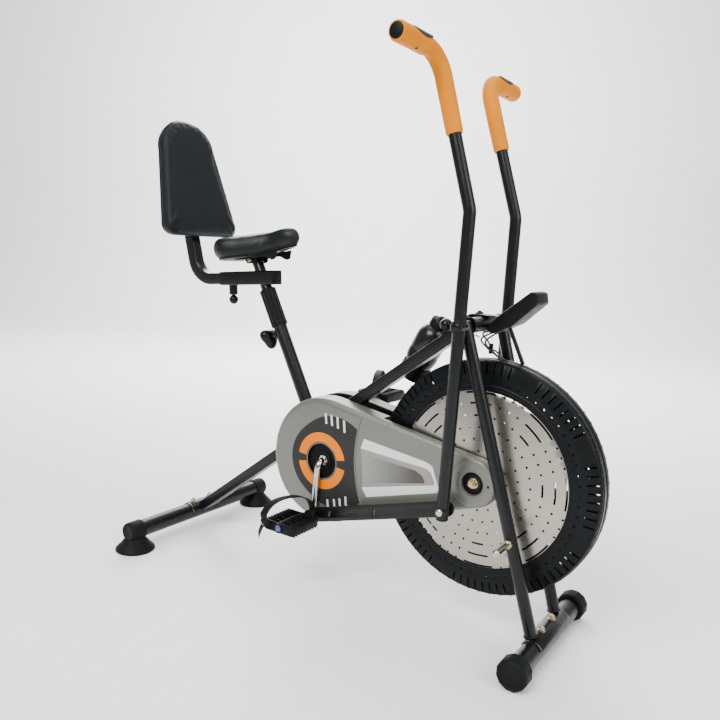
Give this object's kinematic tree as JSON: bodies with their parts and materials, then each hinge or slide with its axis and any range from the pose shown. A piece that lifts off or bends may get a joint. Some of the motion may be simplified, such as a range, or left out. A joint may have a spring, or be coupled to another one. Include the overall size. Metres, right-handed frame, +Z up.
{
  "type": "air bike",
  "caption": "Fan exercise bike with swinging arms, chain-driven cranks, padded saddle and back rest, and wide feet.",
  "frame": {"origin": "middle of the bike's outline on the floor", "axes": "+X forward towards the fan, +Y to the rider's left, +Z up"},
  "size_m": [1.384, 0.626, 1.3487],
  "materials": {
    "black_paint": "textured satin powder coat",
    "black_plastic": "moulded, fine grain",
    "rubber": "matt",
    "silver_plastic": "silver-grey moulded plastic with a dark decal",
    "silver_sheet": "silver",
    "chrome": "polished",
    "zinc": "yellow zinc plating",
    "vinyl": "grained slate vinyl",
    "orange_foam": "soft orange grip",
    "wood": "plywood",
    "chain_steel": "oiled"
  },
  "bodies": {
    "frame": {"main_beam": "black_paint", "drive_hanger": "black_paint", "pivot_housing": "black_paint", "seat_tube": "black_paint", "front_stabiliser": "black_paint", "rear_stabiliser": "black_paint", "front_saddle": "black_paint", "post_sleeve": "black_plastic", "chain": "chain_steel", "fan_axle": "zinc", "pivot_axle": "zinc", "pivot_knob": "black_plastic", "console": "black_plastic", "console_bracket": "black_paint", "bottle_cage": "black_plastic", "fan_stay_left": "black_paint", "fan_stay_right": "black_paint", "leg_left": "black_paint", "leg_right": "black_paint", "front_cap_left": "rubber", "front_cap_right": "rubber", "rear_foot_left": "rubber", "rear_foot_right": "rubber", "front_bolt_left": "zinc", "front_bolt_right": "zinc", "foot_peg_left": "chrome", "foot_peg_right": "chrome", "fan_cover_left": "black_plastic", "fan_cover_right": "black_plastic", "chain_case_left": "silver_plastic", "chain_case_right": "silver_plastic", "hub_cover_left": "silver_sheet", "hub_cover_right": "silver_sheet"},
    "crank": {"crank": "chrome", "chainwheel": "black_paint"},
    "fan": {"fan_wheel": "black_plastic"},
    "link_right": {"link_bar_right": "black_paint"},
    "link_left": {"link_bar_left": "black_paint"},
    "pedal_right": {"pedal_right": "black_plastic", "pedal_strap_right": "black_plastic"},
    "pedal_left": {"pedal_left": "black_plastic", "pedal_strap_left": "black_plastic"},
    "arm_right": {"arm_right": "black_paint", "arm_bolt_right": "chrome", "grip_right": "orange_foam"},
    "arm_left": {"arm_left": "black_paint", "arm_bolt_left": "chrome", "grip_left": "orange_foam"},
    "seat": {"seat_post": "black_paint", "seat_carrier": "black_paint", "carrier_cap": "black_plastic", "saddle_clamp": "black_paint"},
    "height_pin": {"height_knob": "black_plastic"},
    "back": {"back_tube": "black_paint", "back_board": "wood", "back_pad": "vinyl"},
    "back_pin": {"back_plunger": "black_plastic"},
    "saddle": {"saddle_tray": "black_plastic", "saddle_cushion": "vinyl"},
    "bottle": {"bottle": "black_plastic"}
  },
  "joints": [
    {"name": "crank_spin", "type": "hinge", "parent": "frame", "child": "crank", "pos_m": [-0.02755, 0, 0.343], "axis": [0, 1, 0], "continuous": true},
    {"name": "fan_spin", "type": "hinge", "parent": "frame", "child": "fan", "pos_m": [0.40995, 0, 0.382], "axis": [0, 1, 0], "continuous": true},
    {"name": "link_right_turn", "type": "hinge", "parent": "crank", "child": "link_right", "pos_m": [-0.03893, 0, 0.19845], "axis": [0, 1, 0], "continuous": true},
    {"name": "link_left_turn", "type": "hinge", "parent": "crank", "child": "link_left", "pos_m": [-0.01617, 0, 0.48755], "axis": [0, 1, 0], "continuous": true},
    {"name": "pedal_right_turn", "type": "hinge", "parent": "crank", "child": "pedal_right", "pos_m": [-0.03893, 0, 0.19845], "axis": [0, 1, 0], "continuous": true},
    {"name": "pedal_left_turn", "type": "hinge", "parent": "crank", "child": "pedal_left", "pos_m": [-0.01617, 0, 0.48755], "axis": [0, 1, 0], "continuous": true},
    {"name": "arm_right_swing", "type": "hinge", "parent": "frame", "child": "arm_right", "pos_m": [0.37445, 0, 0.745], "axis": [0, 1, 0], "range_deg": [-16, 16]},
    {"name": "arm_left_swing", "type": "hinge", "parent": "frame", "child": "arm_left", "pos_m": [0.37445, 0, 0.745], "axis": [0, 1, 0], "range_deg": [-16, 16]},
    {"name": "seat_height", "type": "slide", "parent": "frame", "child": "seat", "axis": [-0.4633, 0, 0.8862], "range_m": [0, 0.12]},
    {"name": "height_pin_pull", "type": "slide", "parent": "frame", "child": "height_pin", "axis": [-0.8862, 0, -0.4633], "range_m": [0, 0.01], "stiffness_N_per_m": 400, "springref_m": -0.003},
    {"name": "back_reach", "type": "slide", "parent": "seat", "child": "back", "axis": [0.9968, 0, 0.0802], "range_m": [-0.06, 0.015]},
    {"name": "back_pin_pull", "type": "slide", "parent": "seat", "child": "back_pin", "axis": [0.0802, 0, -0.9968], "range_m": [0, 0.01], "stiffness_N_per_m": 400, "springref_m": -0.003},
    {"name": "saddle_tilt", "type": "hinge", "parent": "seat", "child": "saddle", "pos_m": [-0.34815, 0, 0.85589], "axis": [0, 1, 0], "range_deg": [-10, 10]},
    {"name": "bottle_lift", "type": "slide", "parent": "frame", "child": "bottle", "axis": [0.4695, 0, 0.8829], "range_m": [0, 0.09]}
  ],
  "couplings": [
    {"joint": "fan_spin", "follows": "crank_spin", "ratio": 3.1429},
    {"joint": "link_right_turn", "follows": "crank_spin", "ratio": -1},
    {"joint": "link_left_turn", "follows": "crank_spin", "ratio": -1},
    {"joint": "arm_left_swing", "follows": "arm_right_swing", "ratio": -1}
  ]
}
